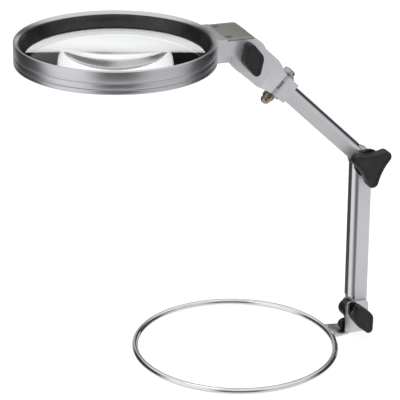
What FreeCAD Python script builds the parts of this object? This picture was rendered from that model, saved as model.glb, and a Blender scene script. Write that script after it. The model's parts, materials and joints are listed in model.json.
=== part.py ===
import FreeCAD, Part
import math
import os
import re
import Sketcher

# Folding stand magnifier: a wire ring base, an upright and an upper arm of
# pressed channel, a wrist, and a round lens in a deep metal rim. Millimetres,
# +Z up. The origin is on the desk, below the axis of the base hinge. The lens
# is on the -X side, and the hand knobs are on the -Y side.
#
# Each moving group is modelled in a frame of its own, with its pivot at the
# frame's origin, and is then placed at the pose in which the stand is used.

Vector = FreeCAD.Vector

SIZES = [
    # base
    ("ring_radius", 77, "base ring, centreline radius"),
    ("wire_radius", 2.15, "base ring wire"),
    ("ring_reach", 100, "base hinge to the ring's centre"),
    ("pivot_height", 16, "base hinge above the desk"),
    ("tab_width", 21, "tab beside the ring"),
    ("tab_wall", 1.8, "sheet of the tab and its ears"),
    ("tab_overlap", 1, "how far the tab reaches under the wire"),
    ("ear_height", 27.5, "ears above the desk"),
    ("ear_front", 11, "near ear's edge in front of the hinge"),
    ("far_front", 4.6, "far ear's edge in front of the hinge"),
    ("ear_back", 8, "ear's edge behind the hinge"),
    ("ear_round", 4, "ear's top corners"),
    ("lower_lobe", 4.4, "radius of the knuckle's lower lobe"),
    ("lower_reach", 9.4, "lower lobe's centre in front of the hinge"),
    ("upper_lobe", 6.5, "radius of the knuckle's upper lobe"),
    ("upper_reach", 5, "upper lobe's centre in front of the hinge"),
    ("lobe_height", 18, "upper lobe's centre above the desk"),
    ("core_back", 3, "ears' back edge to the knuckle's back"),
    # upright
    ("upright_length", 127.1, "base hinge to middle hinge"),
    ("elbow_back", 2.2, "middle hinge behind the upright's middle line"),
    ("upright_lean", 0.7, "lean of the upright to the front, degrees"),
    ("upright_half", 6.4, "half width of the upright"),
    ("upright_web", 8, "hinge line to the upright's web"),
    ("upright_lip", 7.4, "hinge line to the upright's open edge"),
    ("upright_corner", 6, "round corners of the upright's web"),
    ("upright_notch", 14.4, "web cut away round the base hinge"),
    ("channel_wall", 1.2, "sheet of both channels"),
    # upper arm
    ("arm_rise", 43.5, "upper arm above the horizontal, degrees"),
    ("arm_length", 97.6, "middle hinge to wrist bolt"),
    ("arm_web", 7.2, "hinge line to the arm's web"),
    ("arm_lip", 6.2, "hinge line to the arm's open edge"),
    ("arm_corner", 6.3, "round corners of the arm's web"),
    ("arm_notch", 14, "web cut away round the middle hinge"),
    ("arm_eye", 8.6, "rounded ends of the arm's walls"),
    # wrist
    ("collar_half", 8.6, "collar along the wrist bolt, half"),
    ("collar_back", 9, "wrist bolt to the collar's lower end"),
    ("collar_eye", 8.4, "rounded upper end of the collar"),
    ("spigot_length", 18, "collar's spigot inside the arm"),
    ("collar_soft", 1.5, "rounded edges of the collar"),
    ("tongue_half", 3, "half thickness of the neck's tongue"),
    ("tongue_gap", 0.3, "play beside the tongue"),
    ("neck_length", 44, "wrist bolt to head hinge"),
    ("neck_radius", 12.5, "neck round the head hinge"),
    ("neck_foot", 8.8, "neck beside the collar, half"),
    ("neck_low", 4.4, "wrist bolt to the neck's lowest edge"),
    ("tongue_radius", 6.8, "rounded end of the neck's tongue"),
    ("slot_low", 1.8, "wrist bolt to the open part of the collar's slot"),
    ("tongue_side", 4.6, "half width of the tongue above the bolt"),
    ("neck_shoulder", 17, "wrist bolt to the neck's shoulder"),
    ("neck_half", 11.2, "half width of the neck"),
    ("neck_bow", 0.9, "bow of the neck's flanks below its shoulder"),
    ("neck_soft", 1.6, "rounded edges of the neck"),
    ("neck_wall", 2, "walls of the neck"),
    # head bracket
    ("bracket_half", 20, "half width of the head bracket"),
    ("cheek_radius", 13.5, "cheeks round the head hinge"),
    ("bracket_top", 14.2, "bracket's top above the head hinge"),
    ("bracket_drop", 3.1, "bracket's underside below the head hinge"),
    ("bracket_step", 1.5, "step in the bracket's side, above the hinge"),
    ("step_depth", 0.8, "depth of that step"),
    ("cover_wall", 1.4, "cover plate"),
    ("cover_end", 3.9, "cover plate's end behind the head hinge"),
    ("cover_start", 5, "rim to the cover plate"),
    ("cover_screw", 8.5, "rim to the cover plate's screws"),
    # lens and its rim
    ("lens_reach", 94, "head hinge to the lens centre"),
    ("rim_radius", 72, "outside of the rim"),
    ("rim_wall", 2.3, "rim wall"),
    ("rim_top", 16.1, "rim's top above the head hinge"),
    ("rim_bottom", 0.8, "rim's underside below the head hinge"),
    ("upper_band", 8.5, "upper band of the rim"),
    ("lower_band", 4.9, "lower band of the rim"),
    ("groove", 0.6, "grooves between the bands"),
    ("lens_radius", 65, "lens"),
    ("lens_edge", 2, "lens thickness at its edge"),
    ("lens_bulge", 8, "height of each lens face"),
    ("lens_lip", 1.2, "how far the seat covers the lens edge"),
    ("seat_height", 2.2, "lens seat above the head hinge"),
    # hinge bolts, washers and knobs
    ("bolt_radius", 3, "hinge bolts"),
    ("running_gap", 0.06, "radial play on the hinge bolts"),
    ("bolt_head", 10, "hinge bolt heads, across flats"),
    ("head_height", 4, "hinge bolt heads"),
    ("washer_radius", 6.5, "steel washers"),
    ("washer_wall", 1, "steel washers"),
    ("slip_radius", 7, "plastic slip washers of the middle hinge"),
    ("cheek_washer", 8, "plastic slip washers of the head hinge"),
    ("slip_gap", 0.3, "play beside the slip washers"),
    ("slip_wall", 0.5, "slip washers of the middle hinge"),
    ("cheek_wall", 0.7, "slip washers of the head hinge"),
    ("bridge_gap", 1.6, "play in front of the neck, between the cheeks"),
    ("knob_wall", 8.6, "thickness of a knob"),
    ("knob_reach", 17, "middle knob's centre to a tip"),
    ("knob_tip", 4.6, "rounded tips of the middle knob"),
    ("knob_waist", 9.5, "middle knob's centre to the middle of a flank"),
    ("wing_reach", 12.5, "wing knob's centre to a tip"),
    ("wing_tip", 3.3, "rounded tips of a wing knob"),
    ("wing_half", 7.3, "wing knob's half width at its middle"),
    ("knob_rim", 1.2, "bevel round a knob's face"),
    ("knob_gap", 0.3, "play behind a knob"),
    ("insert_wall", 2, "brass insert in a knob"),
    ("hub_radius", 7, "hub behind a knob"),
    ("base_hub", 2.4, "height of the base knob's hub"),
    ("middle_hub", 0.2, "height of the middle knob's hub"),
    ("head_hub", 0.6, "height of the head knob's hub"),
    ("friction_radius", 11, "friction disc behind the middle knob"),
    ("friction_wall", 2.8, "friction disc"),
    ("bolt_short", 2.5, "end of a hinge bolt to its knob's face"),
    ("knob_cap", 2, "a knob's face to the end of its insert"),
    ("spacer_wall", 0.9, "spacer on the middle bolt"),
    ("spacer_gap", 0.6, "play beside the spacer"),
    # wrist fastener
    ("wrist_radius", 2.5, "wrist bolt"),
    ("wrist_head", 4.6, "wrist bolt's round head"),
    ("wrist_washer", 7, "wrist washers"),
    ("wrist_tall", 4.6, "height of the wrist bolt's head"),
    ("flange_wall", 1.2, "flange under the wrist bolt's head"),
    ("head_slope", 1.4, "bevel of the wrist bolt's head"),
    ("head_crown", 0.4, "crown of the wrist bolt's head"),
    ("acorn_flats", 8, "acorn nut, across flats"),
    ("acorn_step", 0.3, "acorn nut's dome inside its flats"),
    ("acorn_body", 4, "acorn nut's hexagon"),
    # small screws
    ("screw_radius", 1.5, "small screws"),
    ("screw_length", 4.5, "depth of the cover screws below the cover"),
    ("cover_screw_side", 13, "cover screws beside the middle plane"),
    ("rim_screw_side", 12, "rim screws beside the middle plane"),
    ("rim_screw_height", 6, "rim screws above the head hinge"),
    ("rim_screw_reach", 6, "depth of the rim screws in the bracket"),
    ("screw_head", 2.8, "countersunk heads of the small screws"),
]

# sizes that follow from others, so that what fits together stays together
FOLLOWING = {
    "ear_half": "(upright_half + slip_gap + tab_wall)",
    "arm_half": "(upright_half + slip_wall + slip_gap + channel_wall)",
    "bracket_slot": "(neck_half + slip_gap + cheek_wall)",
    "bridge_end": "(-neck_radius - bridge_gap)",
}

doc = FreeCAD.newDocument("StandMagnifier")
sheet = doc.addObject("Spreadsheet::Sheet", "sizes")
for row, (alias, number, meaning) in enumerate(SIZES, start=1):
    sheet.set(f"A{row}", str(number))
    sheet.setAlias(f"A{row}", alias)
    sheet.set(f"B{row}", meaning)
doc.recompute()

ALIASES = {alias for alias, _, _ in SIZES}
nodes = []


def tie(text):
    """An expression on the sheet's cells, from one that uses their aliases."""
    spelled = re.sub(r"[a-z_]+", lambda word: FOLLOWING.get(word[0], word[0]), str(text))
    return re.sub(
        r"[a-z_]+", lambda word: f"sizes.{word[0]}" if word[0] in ALIASES else word[0], spelled
    )


def size(text):
    """The number that an expression on the aliases gives."""
    return float(sheet.evalExpression(tie(text)))


def bind(item, **properties):
    """Bind properties of item to expressions on the sheet."""
    for name, text in properties.items():
        item.setExpression(name.replace("__", "."), tie(text))
    return item


# ---------------------------------------------------------------- primitives


def block(x0, x1, y0, y1, z0, z1):
    """A box between three pairs of expressions."""
    box = doc.addObject("Part::Box", "block")
    bind(box, Length=f"({x1}) - ({x0})", Width=f"({y1}) - ({y0})", Height=f"({z1}) - ({z0})")
    return bind(box, Placement__Base__x=x0, Placement__Base__y=y0, Placement__Base__z=z0)


TURNS = {
    "X": FreeCAD.Rotation(Vector(0, 1, 0), 90),
    "Y": FreeCAD.Rotation(Vector(1, 0, 0), -90),
    "Z": FreeCAD.Rotation(),
}


def rod(axis, radius, start, end, at=(0, 0)):
    """A cylinder along X, Y or Z, at two coordinates on the other two axes."""
    cylinder = doc.addObject("Part::Cylinder", "rod")
    cylinder.Placement = FreeCAD.Placement(Vector(), TURNS[axis])
    bind(cylinder, Radius=radius, Height=f"({end}) - ({start})")
    places = dict(zip("xyz".replace(axis.lower(), ""), at))
    places[axis.lower()] = start
    return bind(cylinder, **{f"Placement__Base__{key}": text for key, text in places.items()})


def cut(base, *tools):
    """base with every tool taken away."""
    result = doc.addObject("Part::Cut", "cut")
    result.Base = base
    result.Tool = fuse(*tools)
    return result


def fuse(*pieces):
    """All pieces in one."""
    if len(pieces) == 1:
        return pieces[0]
    result = doc.addObject("Part::MultiFuse", "fuse")
    result.Shapes = list(pieces)
    return result


def common(*pieces):
    """What all pieces share."""
    result = doc.addObject("Part::MultiCommon", "common")
    result.Shapes = list(pieces)
    return result


def disc(axis, inner, outer, start, end, at=(0, 0)):
    """A washer along an axis."""
    return cut(rod(axis, outer, start, end, at), rod(axis, inner, f"({start}) - 1", f"({end}) + 1", at))


def compound(*pieces):
    """Separate solids kept in one object."""
    result = doc.addObject("Part::Compound", "group")
    result.Links = list(pieces)
    return result


# ------------------------------------------------------- sketches and bodies


def new_body():
    return doc.addObject("PartDesign::Body", "body")


def new_sketch(body, plane, offset=0):
    """A sketch on one of the body's own planes, moved along its normal."""
    sketch = body.newObject("Sketcher::SketchObject", "sketch")
    origin = next(item for item in body.Origin.OriginFeatures if item.Role == plane)
    sketch.AttachmentSupport = [(origin, "")]
    sketch.MapMode = "FlatFace"
    return bind(sketch, AttachmentOffset__Base__z=offset)


def polygon(sketch, corners):
    """A closed outline whose corners are bound to expressions."""
    points = [Vector(size(x), size(y), 0) for x, y in corners]
    count = len(points)
    first = sketch.GeometryCount
    for index in range(count):
        sketch.addGeometry(Part.LineSegment(points[index], points[(index + 1) % count]))
    for index in range(count):
        after = first + (index + 1) % count
        sketch.addConstraint(Sketcher.Constraint("Coincident", first + index, 2, after, 1))
    for index, corner in enumerate(corners):
        for letter, text in zip("XY", corner):
            limit = Sketcher.Constraint(f"Distance{letter}", -1, 1, first + index, 1, size(text))
            number = sketch.addConstraint(limit)
            if size(text):
                sketch.setExpression(f"Constraints[{number}]", tie(text))
    return sketch


def path(sketch, start, moves):
    """A closed outline of straight moves (end,) and arcs (middle, end)."""
    here = Vector(*start, 0)
    for move in moves:
        stops = [Vector(*stop, 0) for stop in move]
        edge = Part.LineSegment(here, *stops) if len(stops) == 1 else Part.Arc(here, *stops)
        sketch.addGeometry(edge)
        here = stops[-1]
    doc.recompute()


def pad(body, sketch, length):
    feature = body.newObject("PartDesign::Pad", "pad")
    feature.Profile = sketch
    bind(feature, Length=length)
    body.Tip = feature
    return feature


def turned(corners):
    """A body of revolution about its own Z axis, from corners (radius, height)."""
    body = new_body()
    sketch = polygon(new_sketch(body, "XZ_Plane"), corners)
    return spin(body, sketch)


def spin(body, sketch):
    feature = body.newObject("PartDesign::Revolution", "revolution")
    feature.Profile = sketch
    feature.ReferenceAxis = (sketch, ["V_Axis"])
    feature.Angle = 360
    body.Tip = feature
    return body


def hexagon(sketch, flats):
    """A hexagon of a given width across flats, centred on the sketch."""
    corners = []
    for step in range(6):
        reach = f"({flats}) / 2 / cos(30)"
        corners.append((f"{reach} * cos({60 * step})", f"{reach} * sin({60 * step})"))
    return polygon(sketch, corners)


def rounded(base, radius, chosen):
    """Fillet the edges of a boolean whose middle point passes a test."""
    doc.recompute()
    fillet = doc.addObject("Part::Fillet", "fillet")
    fillet.Base = base
    fillet.Edges = [
        (number, size(radius), size(radius))
        for number, edge in enumerate(base.Shape.Edges, start=1)
        if chosen(edge)
    ]
    return fillet


def middle(edge):
    return edge.valueAt((edge.FirstParameter + edge.LastParameter) / 2)


def straight_along(edge, direction):
    """Whether an edge is a line along a direction."""
    if edge.Curve.TypeId != "Part::GeomLine":
        return False
    return abs(edge.tangentAt(edge.FirstParameter).dot(direction)) > 0.999


# -------------------------------------------------------------------- frames

pivot = Vector(0, 0, size("pivot_height"))
lean = size("-upright_lean")
rise = size("arm_rise - 90")
about_y = Vector(0, 1, 0)

BASE = FreeCAD.Placement()
UPRIGHT = FreeCAD.Placement(pivot, FreeCAD.Rotation(about_y, lean))
elbow = UPRIGHT.multVec(Vector(size("elbow_back"), 0, size("upright_length")))
ARM = FreeCAD.Placement(elbow, FreeCAD.Rotation(about_y, rise))
wrist = ARM.multVec(Vector(0, 0, size("arm_length")))
NECK = FreeCAD.Placement(wrist, FreeCAD.Rotation(about_y, rise))
head = NECK.multVec(Vector(0, 0, size("neck_length")))
HEAD = FreeCAD.Placement(head, FreeCAD.Rotation())
LENS = FreeCAD.Placement(head - Vector(size("lens_reach"), 0, 0), FreeCAD.Rotation())


def node(label, item, frame):
    """Name a finished sub-part and put it in its place in the assembly."""
    holder = item
    if item.TypeId in ("Part::Box", "Part::Cylinder", "Part::Torus"):
        holder = compound(item)
    holder.Label = label
    holder.Placement = frame
    nodes.append(holder)


# ---------------------------------------------------- bolts, washers, knobs


def hinge_bolt(label, seat, end, frame):
    """A hexagon bolt along Y: its head sits on +seat, its thread ends at -end."""
    body = new_body()
    shank = new_sketch(body, "XZ_Plane", f"-({seat})")
    shank.addGeometry(Part.Circle(Vector(), Vector(0, 0, 1), size("bolt_radius")))
    radius = shank.addConstraint(Sketcher.Constraint("Radius", 0, size("bolt_radius")))
    shank.addConstraint(Sketcher.Constraint("Coincident", 0, 3, -1, 1))
    shank.setExpression(f"Constraints[{radius}]", tie("bolt_radius"))
    pad(body, shank, f"({seat}) + ({end})")
    top = hexagon(new_sketch(body, "XZ_Plane", f"-({seat}) - head_height"), "bolt_head")
    pad(body, top, "head_height")
    node(label, body, frame)


def polar(radius, angle):
    """A point of a sketch from its distance and its angle in degrees."""
    return (radius * math.cos(math.radians(angle)), radius * math.sin(math.radians(angle)))


def three_tips(sketch, turn):
    """Three round tips joined by three hollow flanks, the first tip at turn degrees."""
    reach, tip, waist = size("knob_reach"), size("knob_tip"), size("knob_waist")
    centre = reach - tip
    # the flank's circle touches two tips and comes down to the waist
    flank = (waist**2 + centre**2 - centre * waist - tip**2) / (2 * (tip + centre / 2 - waist))
    away = waist + flank

    def touch(tip_angle, flank_angle):
        near = polar(centre, tip_angle)
        far = polar(away, flank_angle)
        share = tip / (tip + flank)
        return tuple(a + (b - a) * share for a, b in zip(near, far))

    moves = []
    for step in range(3):
        angle = turn + 120 * step
        moves.append((polar(reach, angle), touch(angle, angle + 60)))
        moves.append((polar(waist, angle + 60), touch(angle + 120, angle + 60)))
    path(sketch, touch(turn, turn - 60), moves)


def wing(sketch, turn):
    """Two round tips joined by straight flanks to a wider round middle, long way at turn degrees."""
    reach, tip, half = size("wing_reach"), size("wing_tip"), size("wing_half")
    centre = reach - tip
    spread = math.degrees(math.acos((half - tip) / centre))

    def on_tip(side, angle):
        middle_x, middle_y = polar(centre, turn + side)
        x, y = polar(tip, turn + side + angle)
        return (middle_x + x, middle_y + y)

    moves = []
    for side in (0, 180):
        moves.append((polar(reach, turn + side), on_tip(side, spread)))
        moves.append((polar(half, turn + side + spread),))
        moves.append((polar(half, turn + side + 90), polar(half, turn + side + 180 - spread)))
        moves.append((on_tip(side + 180, -spread),))
    path(sketch, on_tip(0, -spread), moves)


def knob(name, outline, turn, back, hub, frame):
    """A knob on -Y with a hub whose back is at -back, and its brass insert."""
    body = new_body()
    sketch = new_sketch(body, "XZ_Plane", f"{back} + {hub}")
    outline(sketch, turn)
    solid = pad(body, sketch, "knob_wall")
    doc.recompute()
    front = size(f"-({back}) - {hub} - knob_wall")
    rim = [
        f"Edge{number}"
        for number, edge in enumerate(body.Shape.Edges, start=1)
        if abs(middle(edge).y - front) < 0.01
    ]
    bevel = body.newObject("PartDesign::Chamfer", "bevel")
    bevel.Base = (solid, rim)
    bind(bevel, Size="knob_rim")
    body.Tip = bevel
    boss = rod("Y", "hub_radius", f"-({back}) - {hub} - 1", f"-({back})")
    ends = (f"-({back}) - {hub} - knob_wall + knob_cap", f"-({back})")
    insert_radius = "bolt_radius + running_gap + insert_wall"
    node(f"{name}_knob", cut(fuse(body, boss), rod("Y", insert_radius, *ends)), frame)
    insert = disc("Y", "bolt_radius + running_gap", insert_radius, *ends)
    node(f"{name}_knob_insert", insert, frame)


def washer_pair(label, low, high, inner, outer, frame, axis="Y"):
    """Two equal washers, one on each side of the middle plane."""
    pair = [disc(axis, inner, outer, low, high), disc(axis, inner, outer, f"-({high})", f"-({low})")]
    node(label, compound(*pair), frame)


# ---------------------------------------------------------------------- base


def make_base():
    ring = doc.addObject("Part::Torus", "wire")
    bind(ring, Radius1="ring_radius", Radius2="wire_radius")
    bind(ring, Placement__Base__x="-ring_reach", Placement__Base__z="wire_radius")
    node("base_ring", ring, BASE)

    # one sheet: a tapered tab that the ring is welded to, with two ears bent up from it
    tab = new_body()
    front = "-ring_reach + ring_radius + tab_overlap"
    corners = [
        (front, "-tab_width / 2"),
        ("-ear_front", "-ear_half"),
        ("ear_back", "-ear_half"),
        ("ear_back", "ear_half"),
        ("-ear_front", "ear_half"),
        (front, "tab_width / 2"),
    ]
    pad(tab, polygon(new_sketch(tab, "XY_Plane"), corners), "tab_wall")
    ears = [
        block("-far_front", "ear_back", "ear_half - tab_wall", "ear_half", 0, "ear_height"),
        block("-ear_front", "ear_back", "-ear_half", "tab_wall - ear_half", 0, "ear_height"),
    ]
    sheet_metal = rounded(
        fuse(tab, *ears),
        "ear_round",
        lambda edge: straight_along(edge, about_y) and middle(edge).z > size("ear_height") - 0.01,
    )
    groove = doc.addObject("Part::Torus", "groove")
    bind(groove, Radius1="ring_radius", Radius2="wire_radius")
    bind(groove, Placement__Base__x="-ring_reach", Placement__Base__z="wire_radius")
    hole = rod("Y", "bolt_radius", "-ear_half - 1", "ear_half + 1", (0, "pivot_height"))
    node("base_bracket", cut(sheet_metal, groove, hole), BASE)

    # the knuckle stands inside the upright's channel and is its hinge block
    inside = "upright_half - channel_wall - slip_gap"
    core = block("-upper_reach", "ear_back - core_back", f"-({inside})", inside, "tab_wall", "lobe_height")
    low = ("-lower_reach", "tab_wall + lower_lobe")
    lobes = [
        block("-lower_reach", 0, f"-({inside})", 0, "tab_wall", "tab_wall + lower_lobe"),
        rod("Y", "lower_lobe", f"-({inside})", 0, low),
        rod("Y", "upper_lobe", f"-({inside})", inside, ("-upper_reach", "lobe_height")),
    ]
    bolt_hole = rod("Y", "bolt_radius", -20, 20, (0, "pivot_height"))
    node("base_knuckle", cut(fuse(core, *lobes), bolt_hole), BASE)

    at_pivot = FreeCAD.Placement(pivot, FreeCAD.Rotation())
    outside = "ear_half + washer_wall"
    washer_pair("base_washers", "ear_half", outside, "bolt_radius", "washer_radius", at_pivot)
    back = f"{outside} + knob_gap"
    hinge_bolt("base_bolt", outside, f"{back} + base_hub + knob_wall - bolt_short", at_pivot)
    knob("base", wing, 115, back, "base_hub", at_pivot)


# ------------------------------------------------------------------- upright


def channel(web, lip, half, corner, start, end):
    """A channel along Z with a round-cornered web at x = web and open at x = lip."""
    body = new_body()
    sketch = new_sketch(body, "XY_Plane", start)
    side = math.copysign(1, size(web))
    edge, open_edge, wide = size(web), size(lip), size(half)
    wall, bend = size("channel_wall"), size(corner)
    x_bend, y_bend = edge - side * bend, wide - bend
    skew = bend * math.sqrt(0.5)
    inner = bend - wall
    inner_skew = inner * math.sqrt(0.5)
    path(
        sketch,
        (open_edge, wide),
        [
            ((x_bend, wide),),
            ((x_bend + side * skew, y_bend + skew), (edge, y_bend)),
            ((edge, -y_bend),),
            ((x_bend + side * skew, -y_bend - skew), (x_bend, -wide)),
            ((open_edge, -wide),),
            ((open_edge, -wide + wall),),
            ((x_bend, -wide + wall),),
            ((x_bend + side * inner_skew, -y_bend - inner_skew), (edge - side * wall, -y_bend)),
            ((edge - side * wall, y_bend),),
            ((x_bend + side * inner_skew, y_bend + inner_skew), (x_bend, wide - wall)),
            ((open_edge, wide - wall),),
            ((open_edge, wide),),
        ],
    )
    pad(body, sketch, f"({end}) - ({start})")
    doc.recompute()
    return body


def make_upright():
    eye = "upright_lip"
    ends = (f"-({eye})", f"upright_length + {eye}")
    shell = channel("-upright_web", "upright_lip", "upright_half", "upright_corner", *ends)
    wide = "upright_half + 1"
    profile = fuse(
        block(f"-({eye}) - 1", f"{eye} + 1", f"-({wide})", wide, 0, "upright_length"),
        rod("Y", eye, f"-({wide})", wide),
        rod("Y", eye, f"-({wide})", wide, (0, "upright_length")),
    )
    side = "upright_half - channel_wall"
    notch = block("-upright_web - 1", 0, f"-({side})", side, f"-({eye}) - 1", "upright_notch")
    eyes = [
        rod("Y", "upright_web", side, "upright_half"),
        rod("Y", "upright_web", "-upright_half", f"-({side})"),
    ]
    holes = [
        rod("Y", "bolt_radius + running_gap", f"-({wide})", wide),
        rod("Y", "bolt_radius", f"-({wide})", wide, ("elbow_back", "upright_length")),
    ]
    node("upright_channel", cut(fuse(common(shell, profile), *eyes), notch, *holes), UPRIGHT)

    top = UPRIGHT.copy()
    top.Base = elbow
    spacer = disc(
        "Y", "bolt_radius", "bolt_radius + spacer_wall", f"spacer_gap - ({side})", f"{side} - spacer_gap"
    )
    node("middle_spacer", spacer, top)
    washer_pair(
        "middle_slip_washers",
        "upright_half",
        "arm_half - channel_wall - slip_gap",
        "bolt_radius",
        "slip_radius",
        top,
    )
    seat = "arm_half + slip_gap + washer_wall"
    node("middle_washer", disc("Y", "bolt_radius", "washer_radius", "arm_half + slip_gap", seat), top)
    back = "arm_half + friction_wall + knob_gap"
    hinge_bolt("middle_bolt", seat, f"{back} + knob_wall - bolt_short", top)
    knob("middle", three_tips, 33, back, "middle_hub", FreeCAD.Placement(elbow, FreeCAD.Rotation()))


# ------------------------------------------------------------------ upper arm


def make_arm():
    shell = channel(
        "arm_web", "-arm_lip", "arm_half", "arm_corner", "-arm_eye", "arm_length - collar_back"
    )
    wide = "arm_half + 1"
    outline = fuse(
        block("-arm_lip", "arm_web + 1", f"-({wide})", wide, 0, "arm_length - collar_back"),
        rod("Y", "arm_eye", f"-({wide})", wide),
    )
    inner = "arm_half - channel_wall"
    eyes = [
        rod("Y", "arm_eye", inner, "arm_half"),
        rod("Y", "arm_eye", "-arm_half", f"-({inner})"),
    ]
    notch = block(0, "arm_web + 1", f"-({inner})", inner, "-arm_eye - 1", "arm_notch")
    hole = rod("Y", "bolt_radius + running_gap", f"-({wide})", wide)
    body = cut(fuse(common(shell, outline), *eyes), notch, hole)
    node("arm_channel", body, ARM)
    faces = ("-arm_half - friction_wall", "-arm_half")
    node("friction_disc", disc("Y", "bolt_radius + running_gap", "friction_radius", *faces), ARM)

    # collar: a fork for the neck's tongue, on a spigot inside the arm
    low = "-collar_back"
    jaw = fuse(
        block("-collar_half", "collar_half", "-collar_eye", "collar_eye", low, 0),
        rod("X", "collar_eye", "-collar_half", "collar_half"),
    )
    spigot = block(
        "-arm_lip + 0.8",
        "arm_web - channel_wall",
        "-arm_half + arm_corner",
        "arm_half - arm_corner",
        f"{low} - spigot_length",
        low,
    )
    wide_spigot = block(
        "-arm_lip + 0.8",
        "arm_web - arm_corner",
        f"-({inner})",
        inner,
        f"{low} - spigot_length",
        low,
    )
    gap = "tongue_half + tongue_gap"
    slot = fuse(
        block(f"-({gap})", gap, "-collar_eye - 1", "collar_eye + 1", "slot_low", "collar_eye + 1"),
        rod("X", "tongue_radius + tongue_gap", f"-({gap})", gap),
    )
    bolt_hole = rod("X", "wrist_radius", "-collar_half - 1", "collar_half + 1")

    def on_a_cheek(edge):
        at = middle(edge)
        return abs(abs(at.x) - size("collar_half")) < 0.01 and at.z > size(low) + 0.1

    soft = rounded(jaw, "collar_soft", on_a_cheek)
    node("arm_collar", cut(fuse(soft, spigot, wide_spigot), slot, bolt_hole), NECK)

    washer_pair(
        "wrist_washers",
        "collar_half",
        "collar_half + washer_wall",
        "wrist_radius",
        "wrist_washer",
        NECK,
        axis="X",
    )
    make_wrist_bolt()


def make_wrist_bolt():
    """A round-headed bolt with a collar under its head, and an acorn nut, along X."""
    seat = "collar_half + washer_wall"
    lying = FreeCAD.Rotation(about_y, 90)
    bolt = turned(
        [
            (0, f"-({seat}) - acorn_body - 1"),
            ("wrist_radius", f"-({seat}) - acorn_body - 1"),
            ("wrist_radius", seat),
            ("wrist_head + flange_wall", seat),
            ("wrist_head + flange_wall", f"{seat} + flange_wall"),
            ("wrist_head", f"{seat} + flange_wall"),
            ("wrist_head", f"{seat} + wrist_tall - head_slope - head_crown"),
            ("wrist_head - head_slope", f"{seat} + wrist_tall - head_crown"),
            (0, f"{seat} + wrist_tall"),
        ]
    )
    node("wrist_bolt", bolt, NECK.multiply(FreeCAD.Placement(Vector(), lying)))

    body = new_body()
    prism = hexagon(new_sketch(body, "XY_Plane"), "acorn_flats")
    pad(body, prism, "acorn_body")
    dome = doc.addObject("Part::Sphere", "dome")
    bind(dome, Radius="acorn_flats / 2 - acorn_step", Placement__Base__z="acorn_body + 1")
    neck = rod("Z", "acorn_flats / 2 - acorn_step", "acorn_body", "acorn_body + 1")
    below = block(-10, 10, -10, 10, -10, "acorn_body - 1")
    cap = cut(dome, below)
    bore = rod("Z", "wrist_radius", -1, "acorn_body + 1")
    nut = cut(fuse(body, neck, cap), bore)
    facing = FreeCAD.Rotation(about_y, -90)
    away = FreeCAD.Placement(Vector(-size(seat), 0, 0), facing)
    node("wrist_acorn_nut", nut, NECK.multiply(away))


# ---------------------------------------------------------------------- neck


def make_neck():
    """The neck: a tongue in the collar, a rounded shoulder, an eye at the head hinge."""
    body = new_body()
    sketch = new_sketch(body, "XZ_Plane", "-neck_half")
    low = size("neck_low")
    foot = size("collar_eye + tongue_gap")
    wide = size("neck_radius")
    narrow = size("neck_foot")
    shoulder = size("neck_shoulder")
    end = size("neck_length")
    bow = ((wide + narrow) / 2 + size("neck_bow"), (foot + shoulder) / 2)
    path(
        sketch,
        (-narrow, low),
        [
            ((narrow, low),),
            ((narrow, foot),),
            (bow, (wide, shoulder)),
            ((wide, end),),
            ((0, end + wide), (-wide, end)),
            ((-wide, shoulder),),
            ((-bow[0], bow[1]), (-narrow, foot)),
            ((-narrow, low),),
        ],
    )
    pad(body, sketch, "neck_half * 2")
    doc.recompute()

    def on_a_side(edge):
        at = middle(edge)
        return abs(abs(at.y) - size("neck_half")) < 0.01 and at.z > foot + 0.1

    soft = rounded(body, "neck_soft", on_a_side)
    # the neck narrows to the collar's width at its foot
    taper = []
    for side in (1, -1):
        wedge = new_body()
        corners = [
            (f"{side} * collar_eye", "neck_low - 1"),
            (f"{side} * (neck_half + 2)", "neck_low - 1"),
            (f"{side} * (neck_half + 2)", "neck_shoulder + 2"),
            (f"{side} * neck_half", "neck_shoulder + 2"),
            (f"{side} * collar_eye", "collar_eye + tongue_gap"),
        ]
        outline = polygon(new_sketch(wedge, "YZ_Plane", "-neck_radius - 1"), corners)
        pad(wedge, outline, "neck_radius * 2 + 2")
        taper.append(wedge)
    trunk = cut(soft, *taper)
    tongue = fuse(
        rod("X", "tongue_radius", "-tongue_half", "tongue_half"),
        block("-tongue_half", "tongue_half", "-tongue_side", "tongue_side", 0, "collar_eye + 2"),
    )
    wrist_hole = rod("X", "wrist_radius + running_gap", "-neck_radius", "neck_radius")
    slot = rod("X", "collar_eye + tongue_gap", "-neck_radius", "neck_radius")
    hinge_hole = rod("Y", "bolt_radius + running_gap", -20, 20, (0, "neck_length"))
    cleared = cut(trunk, slot)
    inside = "neck_half - neck_wall"
    hollow = block(
        "-neck_radius - 1",
        "neck_radius - neck_wall",
        f"-({inside})",
        inside,
        "neck_shoulder + 1",
        "neck_length + neck_radius + 1",
    )
    node("wrist_neck", cut(fuse(cleared, tongue), hollow, wrist_hole, hinge_hole), NECK)
    bush = disc(
        "Y",
        "bolt_radius + running_gap",
        "bolt_radius + running_gap + 2",
        f"-({inside})",
        inside,
        (0, "neck_length"),
    )
    node("neck_bush", bush, NECK)


# ---------------------------------------------------------------------- head


def rim_screw_places():
    """Where the two screws of the rim lie, as (y, z)."""
    return [(f"{side} * rim_screw_side", "rim_screw_height") for side in (1, -1)]


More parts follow.
